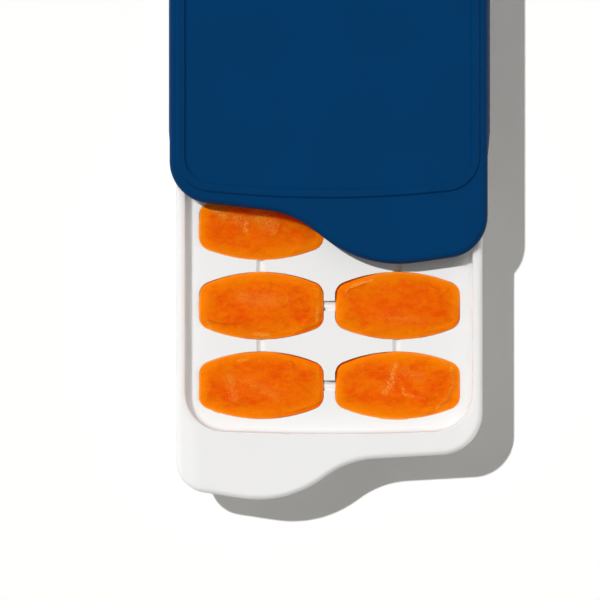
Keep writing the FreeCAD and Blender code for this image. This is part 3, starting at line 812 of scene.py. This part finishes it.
class FREEZER_OT_tray(bpy.types.Operator):
    """Finish the tray's moulding: rounded wells, channels and walls in satin white plastic"""

    bl_idname = "freezer.tray"
    bl_label = "Tray moulding"
    bl_options = {"REGISTER", "UNDO"}

    def execute(self, context):
        look = context.scene.freezer_tray_plastic
        piece = merged_copy("freezer_tray", "tray_moulding")
        slope_channels(piece, look.channel_depth, look.channel_floor)
        round_edges(piece, look.edge_radius, clamp=False)
        finish = moulded_plastic(
            "tray_white", look.white, look.warm_white, look.roughness, look.grain, gloss=0.4
        )
        let_light_through(finish, look.bleed, look.bleed_from, look.bleed_run)
        place_on_body(piece, finish.material, "tray", "freezer_tray")
        return {"FINISHED"}


class FREEZER_OT_cover(bpy.types.Operator):
    """Finish the sliding cover's moulding: rounded bead and rails in satin navy plastic"""

    bl_idname = "freezer.cover"
    bl_label = "Sliding cover"
    bl_options = {"REGISTER", "UNDO"}

    def execute(self, context):
        look = context.scene.freezer_cover_plastic
        piece = merged_copy("sliding_cover", "cover_moulding")
        round_edges(piece, look.edge_radius, clamp=True)
        finish = moulded_plastic(
            "cover_navy", look.navy, look.deep_navy, look.roughness, look.grain, gloss=0.06
        )
        place_on_body(piece, finish.material, "cover", "sliding_cover")
        return {"FINISHED"}


class FREEZER_OT_portions(bpy.types.Operator):
    """Model the frozen portion of puree in each of the fourteen wells"""

    bl_idname = "freezer.portions"
    bl_label = "Frozen portions"
    bl_options = {"REGISTER", "UNDO"}

    def execute(self, context):
        look = context.scene.freezer_puree
        finish = puree_finish(look)
        for row in range(1, ROWS + 1):
            for column in COLUMNS:
                place = f"row{row}_{column}"
                node = f"portion_{place}"
                piece = puree_portion(f"puree_{place}", node, look, *marks_of(row, column))
                place_on_body(piece, finish, "tray", node)
        return {"FINISHED"}


class FREEZER_OT_stage(bpy.types.Operator):
    """Set up the pale floor, the soft studio light and the camera above the tray"""

    bl_idname = "freezer.stage"
    bl_label = "Stage"
    bl_options = {"REGISTER", "UNDO"}

    def execute(self, context):
        studio = context.scene.freezer_studio
        scene = context.scene
        bpy.ops.object.select_all(action="DESELECT")
        bpy.ops.mesh.primitive_plane_add(size=FLOOR_SIZE, location=(0.0, 0.0, -FLOOR_DROP))
        floor = context.object
        floor.name = "floor"
        floor.data.materials.append(shadowed_floor("pale_floor", studio.floor))

        light_from_all_round(studio.fill, studio.fill_tint, studio.fill_lean)
        sun = bpy.data.lights.new("key", "SUN")
        sun.energy = studio.key
        sun.angle = studio.softness
        lamp = bpy.data.objects.new("key", sun)
        scene.collection.objects.link(lamp)
        lamp.visible_glossy = False
        lamp.location = (-studio.lean_x, -studio.lean_y, 1.0)
        lamp.rotation_mode = "QUATERNION"
        ray = Vector((studio.lean_x, studio.lean_y, -1.0))
        lamp.rotation_quaternion = ray.to_track_quat("-Z", "Y")

        camera = bpy.data.objects.new("camera", bpy.data.cameras.new("camera"))
        scene.collection.objects.link(camera)
        camera.data.lens = camera.data.sensor_width * studio.view_distance / studio.view_width
        rim = TRAY_BOX[1].z
        camera.location = (
            studio.view_x + studio.view_distance * math.sin(studio.view_tilt),
            studio.view_y,
            rim + studio.view_distance * math.cos(studio.view_tilt),
        )
        camera.rotation_euler = (0.0, studio.view_tilt, 0.0)
        camera.data.clip_end = FAR_CLIP
        scene.camera = camera
        scene.view_settings.view_transform = "Standard"
        return {"FINISHED"}


class FREEZER_PT_panel(bpy.types.Panel):
    """Buttons for each part of the freezer tray, and their sizes and colours"""

    bl_idname = "FREEZER_PT_panel"
    bl_label = "Freezer tray"
    bl_space_type = "VIEW_3D"
    bl_region_type = "UI"
    bl_category = "Freezer tray"

    def draw(self, context):
        for operator, settings in STEPS:
            box = self.layout.box()
            box.operator(operator.bl_idname)
            group = getattr(context.scene, settings)
            for name in group.__annotations__:
                box.prop(group, name)


GROUPS = {
    "freezer_tray_plastic": TrayPlastic,
    "freezer_cover_plastic": CoverPlastic,
    "freezer_puree": FrozenPuree,
    "freezer_studio": Studio,
}
STEPS = (
    (FREEZER_OT_tray, "freezer_tray_plastic"),
    (FREEZER_OT_cover, "freezer_cover_plastic"),
    (FREEZER_OT_portions, "freezer_puree"),
    (FREEZER_OT_stage, "freezer_studio"),
)
CLASSES = (*GROUPS.values(), *(operator for operator, _ in STEPS), FREEZER_PT_panel)


def register():
    for cls in CLASSES:
        bpy.utils.register_class(cls)
    for name, group in GROUPS.items():
        setattr(bpy.types.Scene, name, bpy.props.PointerProperty(type=group))


def unregister():
    for name in GROUPS:
        delattr(bpy.types.Scene, name)
    for cls in reversed(CLASSES):
        bpy.utils.unregister_class(cls)


def main():
    register()
    bpy.ops.freezer.tray()
    bpy.ops.freezer.cover()
    bpy.ops.freezer.portions()
    bpy.ops.freezer.stage()
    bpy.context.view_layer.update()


if __name__ == "__main__":
    main()
